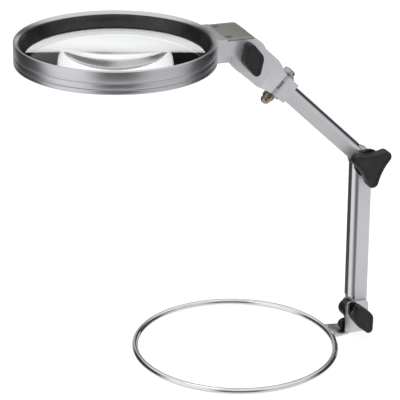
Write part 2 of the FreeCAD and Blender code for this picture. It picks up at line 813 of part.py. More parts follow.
def make_head():
    top = "bracket_top - cover_wall"
    rim = rod("Z", "rim_radius", -30, 30, ("-lens_reach", 0))
    front = "-lens_reach + rim_radius - 8"
    upper = block(front, 0, "-bracket_half", "bracket_half", "bracket_step", top)
    lower_half = "bracket_half - step_depth"
    lower = block(front, 0, f"-({lower_half})", lower_half, "-bracket_drop", "bracket_step")
    plate_start = "-lens_reach + rim_radius + cover_start"
    flange = block(front, plate_start, "-bracket_half", "bracket_half", top, "bracket_top")
    cheeks = rod("Y", "cheek_radius", "-bracket_half", "bracket_half")
    gap = block("bridge_end", "cheek_radius + 1", "-bracket_slot", "bracket_slot", -20, 20)
    above = block(plate_start, "cheek_radius + 1", -30, 30, top, 30)
    hole = rod("Y", "bolt_radius", -30, 30)
    screw_x = "-lens_reach + rim_radius + cover_screw"
    screw_places = [(screw_x, f"{side} * cover_screw_side") for side in (1, -1)]
    tip = f"{top} - screw_length"
    screw_holes = [rod("Z", "screw_radius", tip, "bracket_top + 1", place) for place in screw_places]
    inward = "-lens_reach + rim_radius - rim_wall"
    ends = (inward, "-lens_reach + rim_radius + rim_screw_reach")
    ring_holes = [rod("X", "screw_radius", *ends, place) for place in rim_screw_places()]
    solid = cut(fuse(upper, lower, cheeks, flange), rim, gap, above, hole, *screw_holes, *ring_holes)
    node("head_bracket", solid, HEAD)

    plate = block(plate_start, "cover_end", "-bracket_half + 0.6", "bracket_half - 0.6", top, "bracket_top")
    sinks = []
    screws = []
    for place in screw_places:
        sinks.append(countersunk(place, "bracket_top", tip))
        screws.append(countersunk(place, "bracket_top", tip))
    node("bracket_cover", cut(plate, *sinks), HEAD)
    node("cover_screws", compound(*screws), HEAD)

    washer_pair(
        "head_slip_washers",
        "neck_half + slip_gap",
        "bracket_slot",
        "bolt_radius",
        "cheek_washer",
        HEAD,
    )
    washer_pair(
        "head_washers", "bracket_half", "bracket_half + washer_wall", "bolt_radius", "washer_radius", HEAD
    )
    back = "bracket_half + washer_wall + knob_gap"
    hinge_bolt("head_bolt", "bracket_half + washer_wall", f"{back} + knob_wall - bolt_short", HEAD)
    knob("head", wing, 104, back, "head_hub", HEAD)


def countersunk(at, top, bottom):
    """A small screw along Z with a countersunk head that is flush at top."""
    cone = doc.addObject("Part::Cone", "screw_cone")
    bind(cone, Radius1="screw_radius", Radius2="screw_head", Height="screw_head - screw_radius")
    bind(cone, Placement__Base__x=at[0], Placement__Base__y=at[1])
    bind(cone, Placement__Base__z=f"{top} - screw_head + screw_radius")
    return fuse(rod("Z", "screw_radius", bottom, f"{top} - 0.5", at), cone)


# ---------------------------------------------------------------------- lens


def make_lens():
    inner = "rim_radius - rim_wall"
    joint = "rim_top - upper_band - lower_band"
    middle_groove = "rim_top - upper_band"
    frame = turned(
        [
            (inner, joint),
            ("rim_radius - groove", joint),
            ("rim_radius", f"{joint} + groove / 2"),
            ("rim_radius", f"{middle_groove} - groove"),
            ("rim_radius - groove", f"{middle_groove} - groove / 2"),
            ("rim_radius", middle_groove),
            ("rim_radius", "rim_top - 0.6"),
            ("rim_radius - 0.6", "rim_top"),
            (f"{inner} + 0.9", "rim_top"),
            (f"{inner} - 1.2", "rim_top - 2"),
            (f"{inner} - 1.2", "rim_top - 2.6"),
            (inner, "rim_top - 2.6"),
        ]
    )
    ends = (f"{inner} - 1", "rim_radius + rim_screw_reach")
    screw = [rod("X", "screw_radius", *ends, place) for place in rim_screw_places()]
    node("lens_rim", cut(frame, *screw), LENS)
    pins = [rod("X", "screw_radius", *ends, place) for place in rim_screw_places()]
    node("rim_screws", cut(compound(*pins), rod("Z", inner, -20, 20)), LENS)

    spigot = f"{inner} - 0.1"
    lens_room = "lens_radius + 0.1"
    # the seats slope with the tangent of the lens faces at their edge
    slope = "lens_lip * 2 * lens_radius * lens_bulge / (lens_radius^2 - lens_bulge^2)"
    seat = "lens_radius - lens_lip"
    node(
        "lens_retaining_ring",
        turned(
            [
                (seat, "-rim_bottom + 0.6"),
                (f"{seat} + 0.6", "-rim_bottom"),
                ("rim_radius - 0.6", "-rim_bottom"),
                ("rim_radius", "-rim_bottom + 0.6"),
                ("rim_radius", f"{joint} - groove / 2"),
                ("rim_radius - groove", joint),
                (spigot, joint),
                (spigot, f"{joint} + 3"),
                (f"{spigot} - 2", f"{joint} + 3"),
                (f"{spigot} - 2", "seat_height"),
                ("lens_radius", "seat_height"),
                (seat, f"seat_height - {slope}"),
            ]
        ),
        LENS,
    )
    edge_top = "seat_height + lens_edge"
    node(
        "lens_gasket",
        turned(
            [
                (lens_room, "seat_height"),
                (f"{spigot} - 2.05", "seat_height"),
                (f"{spigot} - 2.05", edge_top),
                (lens_room, edge_top),
            ]
        ),
        LENS,
    )
    node(
        "lens_liner",
        turned(
            [
                (seat, f"{edge_top} + {slope}"),
                ("lens_radius", edge_top),
                (f"{spigot} - 2.05", edge_top),
                (f"{spigot} - 2.05", f"{joint} + 3"),
                (spigot, f"{joint} + 3"),
                (spigot, "rim_top - 2.65"),
                (f"{inner} - 1.9", "rim_top - 2.65"),
                (seat, f"{edge_top} + 1.2"),
            ]
        ),
        LENS,
    )
    body = new_body()
    sketch = new_sketch(body, "XZ_Plane")
    low = size("seat_height")
    high = size(edge_top)
    reach = size("lens_radius")
    bulge = size("lens_bulge")
    # a point of the face's arc half way out, on a sphere through the edge and the crown
    sphere = (reach**2 + bulge**2) / (2 * bulge)
    sag = sphere - math.sqrt(sphere**2 - (reach / 2) ** 2)
    path(
        sketch,
        (0, low - bulge),
        [
            ((reach / 2, low - bulge + sag), (reach, low)),
            ((reach, high),),
            ((reach / 2, high + bulge - sag), (0, high + bulge)),
            ((0, low - bulge),),
        ],
    )
    node("lens", spin(body, sketch), LENS)


make_base()
make_upright()
make_arm()
make_neck()
make_head()
make_lens()

doc.recompute()
for item in doc.Objects:
    if {"Invalid", "Error"} & set(item.State):
        raise RuntimeError(f"{item.Label} ({item.TypeId}) did not build")
for item in nodes:
    if item.Shape.isNull() or not item.Shape.isValid() or item.Shape.Volume <= 0:
        raise RuntimeError(f"{item.Label} has no valid shape")

os.makedirs("parts", exist_ok=True)
for item in nodes:
    item.Shape.exportStep(f"parts/{item.Label}.step")
    print(f"{item.Label:24s} {item.Shape.Volume:10.1f} mm3, {len(item.Shape.Solids)} solids")
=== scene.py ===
"""Looks of a folding stand magnifier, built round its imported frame.

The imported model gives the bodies, the hinge places and the pieces that keep their shape. The
pieces that show their make are modelled here, in millimetres, each in its own group's frame,
and are then put in their places in metres. +Z is up, and the lens is on the -X side.
"""

from __future__ import annotations

import json
import logging
import math
from collections.abc import Callable, Iterator, Sequence
from contextlib import contextmanager
from dataclasses import dataclass
from enum import Enum

import bmesh
import bpy
from mathutils import Matrix, Vector


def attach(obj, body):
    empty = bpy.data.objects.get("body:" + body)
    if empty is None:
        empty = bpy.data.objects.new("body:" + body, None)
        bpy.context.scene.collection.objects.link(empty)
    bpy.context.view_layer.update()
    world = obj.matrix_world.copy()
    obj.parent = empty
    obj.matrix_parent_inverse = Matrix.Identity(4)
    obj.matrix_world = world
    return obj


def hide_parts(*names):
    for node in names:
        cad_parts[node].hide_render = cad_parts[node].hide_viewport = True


log = logging.getLogger("magnifier")

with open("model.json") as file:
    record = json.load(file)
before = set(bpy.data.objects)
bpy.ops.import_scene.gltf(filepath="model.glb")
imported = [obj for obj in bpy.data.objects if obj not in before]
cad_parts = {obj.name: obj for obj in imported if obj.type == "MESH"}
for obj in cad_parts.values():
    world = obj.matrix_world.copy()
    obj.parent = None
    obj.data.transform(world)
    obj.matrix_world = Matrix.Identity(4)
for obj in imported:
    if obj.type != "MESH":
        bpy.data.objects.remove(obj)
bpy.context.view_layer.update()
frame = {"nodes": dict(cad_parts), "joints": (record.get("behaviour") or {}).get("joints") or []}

MM = 0.001
Colour = tuple[float, float, float]
Corner = tuple[float, float]


# ------------------------------------------------------------------------------ shader maths


class Wire:
    """A shader value or colour that can be written in a sum."""

    def __init__(self, recipe: Recipe, socket: bpy.types.NodeSocket | None) -> None:
        """Keep a socket and the recipe that it belongs to."""
        self.recipe = recipe
        self.socket = socket

    def _sum(self, operation: str, *values: Wire | float) -> Wire:
        """Add one Math node."""
        return self.recipe.node("ShaderNodeMath", {"operation": operation}, *values)

    def __add__(self, other: Wire | float) -> Wire:
        """This plus other."""
        return self._sum("ADD", self, other)

    __radd__ = __add__

    def __sub__(self, other: Wire | float) -> Wire:
        """This less other."""
        return self._sum("SUBTRACT", self, other)

    def __rsub__(self, other: float) -> Wire:
        """Other less this."""
        return self._sum("SUBTRACT", other, self)

    def __mul__(self, other: Wire | float) -> Wire:
        """This times other."""
        return self._sum("MULTIPLY", self, other)

    __rmul__ = __mul__

    def __pow__(self, other: float) -> Wire:
        """This to a power."""
        return self._sum("POWER", self, other)

    def clamped(self) -> Wire:
        """This, kept between 0 and 1."""
        return self.recipe.node(
            "ShaderNodeClamp", {"clamp_type": "MINMAX"}, Value=self, Min=0.0, Max=1.0
        )

    def between(self, low: float, high: float) -> Wire:
        """A smooth step from 0 at low to 1 at high."""
        return self.recipe.node(
            "ShaderNodeMapRange",
            {"interpolation_type": "SMOOTHSTEP"},
            Value=self,
            From_Min=low,
            From_Max=high,
        )


class Recipe:
    """The nodes of one material or of the world."""

    def __init__(self, owner: bpy.types.Material | bpy.types.World) -> None:
        """Start owner's node tree afresh."""
        owner.use_nodes = True
        self.tree = owner.node_tree
        self.tree.nodes.clear()

    def node(
        self, kind: str, settings: dict[str, object] | None = None, *values: object, **named: object
    ) -> Wire:
        """Add a node.

        Args:
            kind: the node's type.
            settings: its own properties, which are set before its sockets.
            *values: numbers, colours or wires for its first sockets, in order.
            **named: the same for sockets by name, with _ for a space.

        Returns:
            The node's first output that is in use.
        """
        made = self.tree.nodes.new(kind)
        for name, value in (settings or {}).items():
            setattr(made, name, value)
        open_sockets = [socket for socket in made.inputs if socket.enabled]
        pairs = list(zip(open_sockets, values))
        for name, value in named.items():
            wanted = name.replace("_", " ")
            pairs.append((next(item for item in open_sockets if item.name == wanted), value))
        for socket, value in pairs:
            if isinstance(value, Wire):
                self.tree.links.new(value.socket, socket)
            elif isinstance(value, tuple) and len(value) == 3 and socket.type == "RGBA":
                socket.default_value = (*value, 1.0)
            else:
                socket.default_value = value
        shown = [socket for socket in made.outputs if socket.enabled]
        return Wire(self, shown[0] if shown else None)

    def output(self, wire: Wire, name: str) -> Wire:
        """Another output of the node that a wire comes from."""
        return Wire(self, wire.socket.node.outputs[name])

    def place(self, scale: Sequence[float] = (1, 1, 1), tilt: float = 0.0) -> Wire:
        """Object coordinates, turned by tilt degrees about Y and stretched."""
        here = self.output(self.node("ShaderNodeTexCoord"), "Object")
        turned = self.node(
            "ShaderNodeMapping", {}, Vector=here, Rotation=(0.0, math.radians(tilt), 0.0)
        )
        return self.node("ShaderNodeMapping", {}, Vector=turned, Scale=tuple(scale))

    def noise(self, where: Wire, scale: float, detail: float = 2.0, rough: float = 0.5) -> Wire:
        """A cloudy pattern from 0 to 1."""
        return self.node(
            "ShaderNodeTexNoise", {}, Vector=where, Scale=scale, Detail=detail, Roughness=rough
        )

    def blend(self, share: Wire, first: Colour, second: Colour) -> Wire:
        """A colour between two others."""
        mixed = self.node(
            "ShaderNodeMix", {"data_type": "RGBA"}, Factor=share.clamped(), A=first, B=second
        )
        return mixed

    def bump(self, height: Wire, depth: float) -> Wire:
        """A normal from a height pattern, depth in metres."""
        return self.node("ShaderNodeBump", {}, Strength=1.0, Distance=depth, Height=height)


# ---------------------------------------------------------------------------------- finishes


@dataclass(frozen=True)
class Finish:
    """A surface finish: its slot in the record, its name and its plain values."""

    name: str
    slot: str
    colour: Colour
    worn: Colour
    rough: float
    metal: float = 0.0
    coat: float = 0.0

    def pattern(self, recipe: Recipe) -> tuple[Wire, Wire, Wire]:
        """The colour share, the roughness and the normal over the surface."""
        where = recipe.place()
        cloud = recipe.noise(where, 60.0, 3.0)
        fine = recipe.noise(where, 900.0, 2.0)
        return cloud, cloud * 0.06 + (self.rough - 0.03), recipe.bump(fine, 0.000008)

    def shader_values(self) -> dict[str, object]:
        """Values of the shader that are the same all over."""
        return {"Metallic": self.metal, "Coat_Weight": self.coat, "Coat_Roughness": 0.12}

    def make(self) -> bpy.types.Material:
        """The finish as a material, made once."""
        found = bpy.data.materials.get(self.name)
        if found:
            return found
        material = bpy.data.materials.new(self.name)
        recipe = Recipe(material)
        share, rough, normal = self.pattern(recipe)
        shader = recipe.node(
            "ShaderNodeBsdfPrincipled",
            {},
            Base_Color=recipe.blend(share, self.colour, self.worn),
            Roughness=rough,
            Normal=normal,
            **self.shader_values(),
        )
        recipe.node("ShaderNodeOutputMaterial", {}, Surface=shader)
        return material


@dataclass(frozen=True)
class Plated(Finish):
    """Bright plate: a mirror with a faint haze and a very slight waviness."""

    def pattern(self, recipe: Recipe) -> tuple[Wire, Wire, Wire]:
        """Haze in clouds, and waves that bend the reflections a little."""
        where = recipe.place()
        cloud = recipe.noise(where, 90.0, 4.0)
        waves = recipe.noise(where, 160.0, 1.0)
        return cloud, cloud * 0.05 + (self.rough - 0.02), recipe.bump(waves, 0.00003)


@dataclass(frozen=True)
class Grained(Finish):
    """Metal rubbed along one direction: fine lines, each a little different."""

    tilt: float = 0.0
    depth: float = 0.000012

    def pattern(self, recipe: Recipe) -> tuple[Wire, Wire, Wire]:
        """Lines along the piece, with a cloud of dull places."""
        lines = recipe.noise(recipe.place((1.0, 1.0, 0.02), self.tilt), 2600.0, 3.0, 0.6)
        cloud = recipe.noise(recipe.place(), 45.0, 3.0)
        share = lines * 0.6 + cloud * 0.4
        return share, lines * 0.10 + cloud * 0.05 + (self.rough - 0.07), recipe.bump(lines, self.depth)


@dataclass(frozen=True)
class Turned(Finish):
    """Metal from the lathe: fine rings about the lens axis."""

    centre: Colour = (0.0, 0.0, 0.0)

    def pattern(self, recipe: Recipe) -> tuple[Wire, Wire, Wire]:
        """Tool lines by distance from the axis and by height."""
        here = recipe.output(recipe.node("ShaderNodeTexCoord"), "Object")
        moved = recipe.node("ShaderNodeVectorMath", {"operation": "SUBTRACT"}, here, self.centre)
        parts = recipe.node("ShaderNodeSeparateXYZ", {}, moved)
        across, along, height = (recipe.output(parts, letter) for letter in "XYZ")
        radius = (across * across + along * along) ** 0.5
        flat = recipe.node("ShaderNodeCombineXYZ", {}, radius, 0.0, height)
        lines = recipe.noise(flat, 2400.0, 3.0, 0.65)
        cloud = recipe.noise(here, 55.0, 3.0)
        share = lines * 0.6 + cloud * 0.4
        return share, lines * 0.12 + cloud * 0.06 + (self.rough - 0.08), recipe.bump(lines, 0.000014)


@dataclass(frozen=True)
class Enamelled(Finish):
    """Silver enamel: metal flakes under a thin clear coat, with a slight orange peel."""

    flake: float = 3200.0

    def pattern(self, recipe: Recipe) -> tuple[Wire, Wire, Wire]:
        """Flakes in the colour, and the coat's peel in the normal."""
        where = recipe.place()
        flakes = recipe.noise(where, self.flake, 1.0)
        cloud = recipe.noise(where, 70.0, 3.0)
        peel = recipe.noise(where, 700.0, 1.0)
        return flakes * 0.7 + cloud * 0.3, cloud * 0.08 + (self.rough - 0.04), recipe.bump(peel, 0.00002)


@dataclass(frozen=True)
class Moulded(Finish):
    """Moulded plastic: a fine etched texture and slightly polished high places."""

    etch: float = 2200.0

    def pattern(self, recipe: Recipe) -> tuple[Wire, Wire, Wire]:
        """The mould's etching, with handling marks."""
        where = recipe.place()
        etched = recipe.noise(where, self.etch, 2.0, 0.6)
        marks = recipe.noise(where, 120.0, 4.0)
        share = marks.between(0.45, 0.75)
        return share, marks * 0.18 + (self.rough - 0.09), recipe.bump(etched, 0.00003)


@dataclass(frozen=True)
class Clear(Finish):
    """Clear lens plastic with faint handling haze."""

    bend: float = 1.49

    def pattern(self, recipe: Recipe) -> tuple[Wire, Wire, Wire]:
        """Hardly any haze, and a polish that is not quite even."""
        where = recipe.place()
        cloud = recipe.noise(where, 35.0, 3.0)
        return cloud, cloud.between(0.55, 0.9) * 0.03 + self.rough, recipe.bump(cloud, 0.00001)

    def shader_values(self) -> dict[str, object]:
        """A clear body that bends light."""
        return {"Transmission_Weight": 1.0, "IOR": self.bend, "Metallic": 0.0}


ARM_TILT = 46.5

CHROME = Plated("chrome_plate", "chrome_wire", (0.84, 0.85, 0.87), (0.74, 0.75, 0.78), 0.06, 1.0)
BRIGHT_WEB = Plated("bright_web", "channel_steel", (0.80, 0.80, 0.83), (0.72, 0.72, 0.76), 0.10, 1.0)
MIRROR_SHEET = Plated("mirror_sheet", "satin_plate", (0.80, 0.79, 0.80), (0.7, 0.69, 0.7), 0.08, 1.0)
SOFT_WEB = Plated("soft_web", "channel_steel", (0.74, 0.73, 0.77), (0.66, 0.65, 0.70), 0.24, 1.0)
SATIN_BASE = Grained("satin_base", "satin_plate", (0.62, 0.61, 0.65), (0.54, 0.53, 0.58), 0.30, 1.0)
SATIN_UPRIGHT = Grained("satin_upright", "channel_steel", (0.70, 0.70, 0.73), (0.60, 0.60, 0.63), 0.40, 0.45)
SATIN_ARM = Grained(
    "satin_arm", "channel_steel", (0.66, 0.66, 0.68), (0.54, 0.54, 0.56), 0.38, 0.55, tilt=ARM_TILT
)
SILVER_CAST = Enamelled(
    "silver_cast", "cast_silver", (0.68, 0.68, 0.71), (0.58, 0.58, 0.61), 0.30, 0.60, 0.25
)
COVER = Enamelled("cover_enamel", "cover_grey", (0.36, 0.35, 0.32), (0.29, 0.28, 0.25), 0.42, 0.6, 0.1)
BLACK = Moulded("moulded_black", "black_plastic", (0.007, 0.007, 0.008), (0.016, 0.016, 0.017), 0.40)
LINER_BLACK = Moulded("liner_black", "black_plastic", (0.010, 0.010, 0.011), (0.02, 0.02, 0.022), 0.30)
ZINC = Finish("zinc_plate", "bolt_steel", (0.52, 0.52, 0.53), (0.40, 0.39, 0.38), 0.26, 1.0)
BRASS = Finish("nickel_brass", "brass", (0.47, 0.40, 0.29), (0.30, 0.24, 0.16), 0.26, 1.0)
NYLON = Moulded("white_nylon", "white_slip", (0.74, 0.74, 0.71), (0.64, 0.63, 0.60), 0.40)
GLASS = Clear("lens_clear", "lens_glass", (0.97, 0.98, 0.98), (0.95, 0.96, 0.96), 0.0)


# ----------------------------------------------------------------------------------- bench


class Side(Enum):
    """What the next tool works on."""

    FACES = "FACE"
    EDGES = "EDGE"


def put_down() -> None:
    """Leave nothing selected."""
    if bpy.context.object and bpy.context.object.mode != "OBJECT":
        bpy.ops.object.mode_set(mode="OBJECT")
    bpy.ops.object.select_all(action="DESELECT")


def pick_up(thing: bpy.types.Object) -> None:
    """Select one object alone and make it the active one."""
    put_down()
    thing.select_set(True)
    bpy.context.view_layer.objects.active = thing


AXIS_TURNS = {
    "X": (0.0, math.radians(90), 0.0),
    "Y": (math.radians(90), 0.0, 0.0),
    "Z": (0.0, 0.0, 0.0),
}
Test = Callable[[Vector, Vector], bool]


class Workpiece:
    """A mesh that is shaped from a primitive, in millimetres, in its group's frame."""

    def __init__(self, thing: bpy.types.Object, name: str) -> None:
        """Take a new primitive and settle it in its mesh."""
        thing.name = name
        thing.data.name = name
        self.thing = thing
        pick_up(thing)
        bpy.ops.object.transform_apply(location=True, rotation=True, scale=True)

    @classmethod
    def block(cls, low: Sequence[float], high: Sequence[float], name: str = "block") -> Workpiece:
        """A box between two corners."""
        put_down()
        middle = [(a + b) / 2 for a, b in zip(low, high)]
        spans = [b - a for a, b in zip(low, high)]
        bpy.ops.mesh.primitive_cube_add(size=1, location=middle, scale=spans)
        return cls(bpy.context.object, name)

    @classmethod
    def rod(
        cls,
        axis: str,
        radius: float,
        start: float,
        end: float,
        at: Corner = (0.0, 0.0),
        name: str = "rod",
        sides: int = 64,
    ) -> Workpiece:
        """A cylinder along an axis, at two coordinates on the other two axes."""
        put_down()
        places = dict(zip("XYZ".replace(axis, ""), at))
        places[axis] = (start + end) / 2
        bpy.ops.mesh.primitive_cylinder_add(
            vertices=sides,
            radius=radius,
            depth=end - start,
            location=[places[letter] for letter in "XYZ"],
            rotation=AXIS_TURNS[axis],
        )
        return cls(bpy.context.object, name)

    @classmethod
    def lathe(cls, corners: Sequence[Corner], name: str, sides: int = 160, closed: bool = True) -> Workpiece:
        """A turned piece about Z.

        Args:
            corners: (radius, height) of each corner of the section, in order.
            name: the piece's name.
            sides: how many facets go round.
            closed: whether the section is a ring's, and ends where it starts.

        Returns:
            The turned piece, hollow in the middle if it is a ring.
        """
        put_down()
        radius, height = corners[0]
        bpy.ops.mesh.primitive_circle_add(
            vertices=sides,
            radius=radius,
            location=(0.0, 0.0, height),
            fill_type="NOTHING" if closed else "NGON",
        )
        piece = cls(bpy.context.object, name)
        with piece.on_bench(Side.EDGES):
            bpy.ops.mesh.select_all(action="SELECT")
            for next_radius, next_height in [*corners[1:], *(corners[:1] if closed else [])]:
                bpy.ops.mesh.extrude_edges_move(
                    TRANSFORM_OT_translate={"value": (0.0, 0.0, next_height - height)}
                )
                grow = next_radius / radius
                bpy.ops.transform.resize(value=(grow, grow, 1.0), center_override=(0.0, 0.0, 0.0))
                radius, height = next_radius, next_height
            if not closed:
                bpy.ops.mesh.edge_face_add()
            bpy.ops.mesh.select_all(action="SELECT")
            bpy.ops.mesh.remove_doubles(threshold=0.0005)
            bpy.ops.mesh.normals_make_consistent(inside=False)
        return piece

    @contextmanager
    def on_bench(self, side: Side = Side.FACES) -> Iterator[None]:
        """Edit mode with nothing selected, until the block of code ends."""
        pick_up(self.thing)
        bpy.ops.object.mode_set(mode="EDIT")
        bpy.ops.mesh.select_mode(type=side.value)
        bpy.ops.mesh.select_all(action="DESELECT")
        yield
        bpy.ops.object.mode_set(mode="OBJECT")

    def mark(self, side: Side, test: Test) -> int:
        """Select faces or edges by their middle and their normal or direction."""
        mesh = bmesh.from_edit_mesh(self.thing.data)
        count = 0
        if side is Side.FACES:
            for face in mesh.faces:
                if test(face.calc_center_median(), face.normal):
                    face.select_set(True)
                    count += 1
        else:
            for edge in mesh.edges:
                start, end = (vertex.co for vertex in edge.verts)
                if test((start + end) / 2, (end - start).normalized()):
                    edge.select_set(True)
                    count += 1
        bmesh.update_edit_mesh(self.thing.data)
        return count

    def bevel(self, test: Test, width: float, steps: int = 6) -> Workpiece:
        """Round the edges that pass a test."""
        with self.on_bench(Side.EDGES):
            self.mark(Side.EDGES, test)
            bpy.ops.mesh.bevel(offset=width, segments=steps, affect="EDGES")
        return self

    def open_up(self, test: Test) -> Workpiece:
        """Delete the faces that pass a test."""
        with self.on_bench(Side.FACES):
            self.mark(Side.FACES, test)
            bpy.ops.mesh.delete(type="FACE")
        return self

    def recess(self, test: Test, border: float, depth: float) -> Workpiece:
        """Inset the faces that pass a test, and push them in."""
        with self.on_bench(Side.FACES):
            self.mark(Side.FACES, test)
            bpy.ops.mesh.inset(thickness=border, depth=0.0)
            bpy.ops.mesh.inset(thickness=depth * 0.4, depth=-depth)
        return self

    def squeeze(self, test: Test, value: Sequence[float], centre: Sequence[float]) -> Workpiece:
        """Scale the faces that pass a test about a point."""
        with self.on_bench(Side.FACES):
            self.mark(Side.FACES, test)
            bpy.ops.transform.resize(value=tuple(value), center_override=tuple(centre))
        return self

    def fitted(self, kind: str, **settings: object) -> Workpiece:
        """Add a modifier and apply it."""
        pick_up(self.thing)
        modifier = self.thing.modifiers.new(kind.lower(), kind)
        for name, value in settings.items():
            setattr(modifier, name, value)
        bpy.ops.object.modifier_apply(modifier=modifier.name)
        return self

    def _boolean(self, operation: str, tools: Sequence[Workpiece]) -> Workpiece:
        """Apply one boolean for each tool, and throw the tool away."""
        for tool in tools:
            self.fitted("BOOLEAN", operation=operation, solver="EXACT", object=tool.thing)
            bpy.data.objects.remove(tool.thing)
        return self

    def less(self, *tools: Workpiece) -> Workpiece:
        """This piece with the tools cut away."""
        return self._boolean("DIFFERENCE", tools)

    def plus(self, *tools: Workpiece) -> Workpiece:
        """This piece with the others grown onto it."""
        return self._boolean("UNION", tools)

    def within(self, *tools: Workpiece) -> Workpiece:
        """What this piece shares with each of the others."""
        return self._boolean("INTERSECT", tools)

    def beside(self, *others: Workpiece) -> Workpiece:
        """This piece and others in one mesh, each with its own surface."""
        pick_up(self.thing)
        for other in others:
            other.thing.select_set(True)
        bpy.ops.object.join()
        return self

    def hulled(self, *others: Workpiece) -> Workpiece:
        """The tightest skin round this piece and the others."""
        self.beside(*others)
        with self.on_bench():
            bpy.ops.mesh.select_all(action="SELECT")
            bpy.ops.mesh.convex_hull()
            bpy.ops.mesh.select_all(action="SELECT")
            bpy.ops.mesh.dissolve_limited(angle_limit=math.radians(0.6))
        return self

    def softened(self, width: float, steps: int = 2, angle: float = 30.0) -> Workpiece:
        """Round every edge sharper than angle degrees."""
        return self.fitted(
            "BEVEL",
            width=width,
            segments=steps,
            limit_method="ANGLE",
            angle_limit=math.radians(angle),
            miter_outer="MITER_ARC",
        )

    def placed(self, where: Matrix) -> Workpiece:
        """Move the mesh to its place in the assembly, in metres."""
        self.thing.data.transform(where @ Matrix.Scale(MM, 4))
        self.thing.data.update()
        return self

    def dressed(self, *finishes: Finish) -> Workpiece:
        """Give the piece its finishes, the first one all over."""
        self.thing.data.materials.clear()
        for finish in finishes:
            self.thing.data.materials.append(finish.make())
        for face in self.thing.data.polygons:
            face.material_index = 0
        return self

    def painted(self, test: Test) -> Workpiece:
        """Give the second finish to the faces that pass a test, in millimetres."""
        for face in self.thing.data.polygons:
            if test(face.center, face.normal):
                face.material_index = 1
        return self

    def handed_over(self, name: str, body: str, slot: str, *nodes: str, angle: float = 35.0) -> None:
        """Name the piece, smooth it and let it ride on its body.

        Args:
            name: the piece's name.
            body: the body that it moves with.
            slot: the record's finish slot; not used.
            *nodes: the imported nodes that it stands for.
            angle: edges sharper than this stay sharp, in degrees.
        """
        self.thing.name = name
        self.thing.data.name = name
        pick_up(self.thing)
        bpy.ops.object.shade_smooth_by_angle(angle=math.radians(angle))
        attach(self.thing, body)
        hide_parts(*nodes)
        put_down()
        log.info("%s: %d faces, on %s", name, len(self.thing.data.polygons), body)


# ---------------------------------------------------------------------------------- places


def joint_place(name: str) -> Vector:
    """Where a joint's axis crosses the middle plane."""
    return Vector(next(joint["pos_m"] for joint in frame["joints"] if joint["name"] == name))


def standing(origin: Vector, towards: Vector) -> Matrix:
    """A frame at origin whose Z axis points at another place, with Y left alone."""
    up = (towards - origin).normalized()
    side = Vector((0.0, 1.0, 0.0))
    ahead = side.cross(up)
    turn = Matrix((ahead, side, up)).transposed()
    return Matrix.Translation(origin) @ turn.to_4x4()


BASE_PIVOT = joint_place("base_hinge")
ELBOW = joint_place("middle_hinge")
WRIST = joint_place("wrist_swivel")
HEAD_PIVOT = joint_place("head_tilt")

IN_BASE = Matrix.Identity(4)
IN_BASE_HINGE = Matrix.Translation(BASE_PIVOT)
UPRIGHT_LEAN = 0.7
IN_UPRIGHT = IN_BASE_HINGE @ Matrix.Rotation(math.radians(-UPRIGHT_LEAN), 4, "Y")
IN_ELBOW = Matrix.Translation(ELBOW)
IN_ARM = standing(ELBOW, WRIST)
IN_NECK = standing(WRIST, HEAD_PIVOT)
IN_HEAD = Matrix.Translation(HEAD_PIVOT)

LENS_REACH = 94.0
LENS_AXIS = HEAD_PIVOT - Vector((LENS_REACH * MM, 0.0, 0.0))
IN_LENS = Matrix.Translation(LENS_AXIS)
RIM = Turned(
    "turned_rim",
    "rim_silver",
    (0.70, 0.70, 0.73),
    (0.60, 0.60, 0.64),
    0.28,
    1.0,
    centre=tuple(LENS_AXIS),
)


HINGE_BOLT = 3.0
WRIST_BOLT = 2.5
PLAY = 0.06


# ------------------------------------------------------------------------------------ base


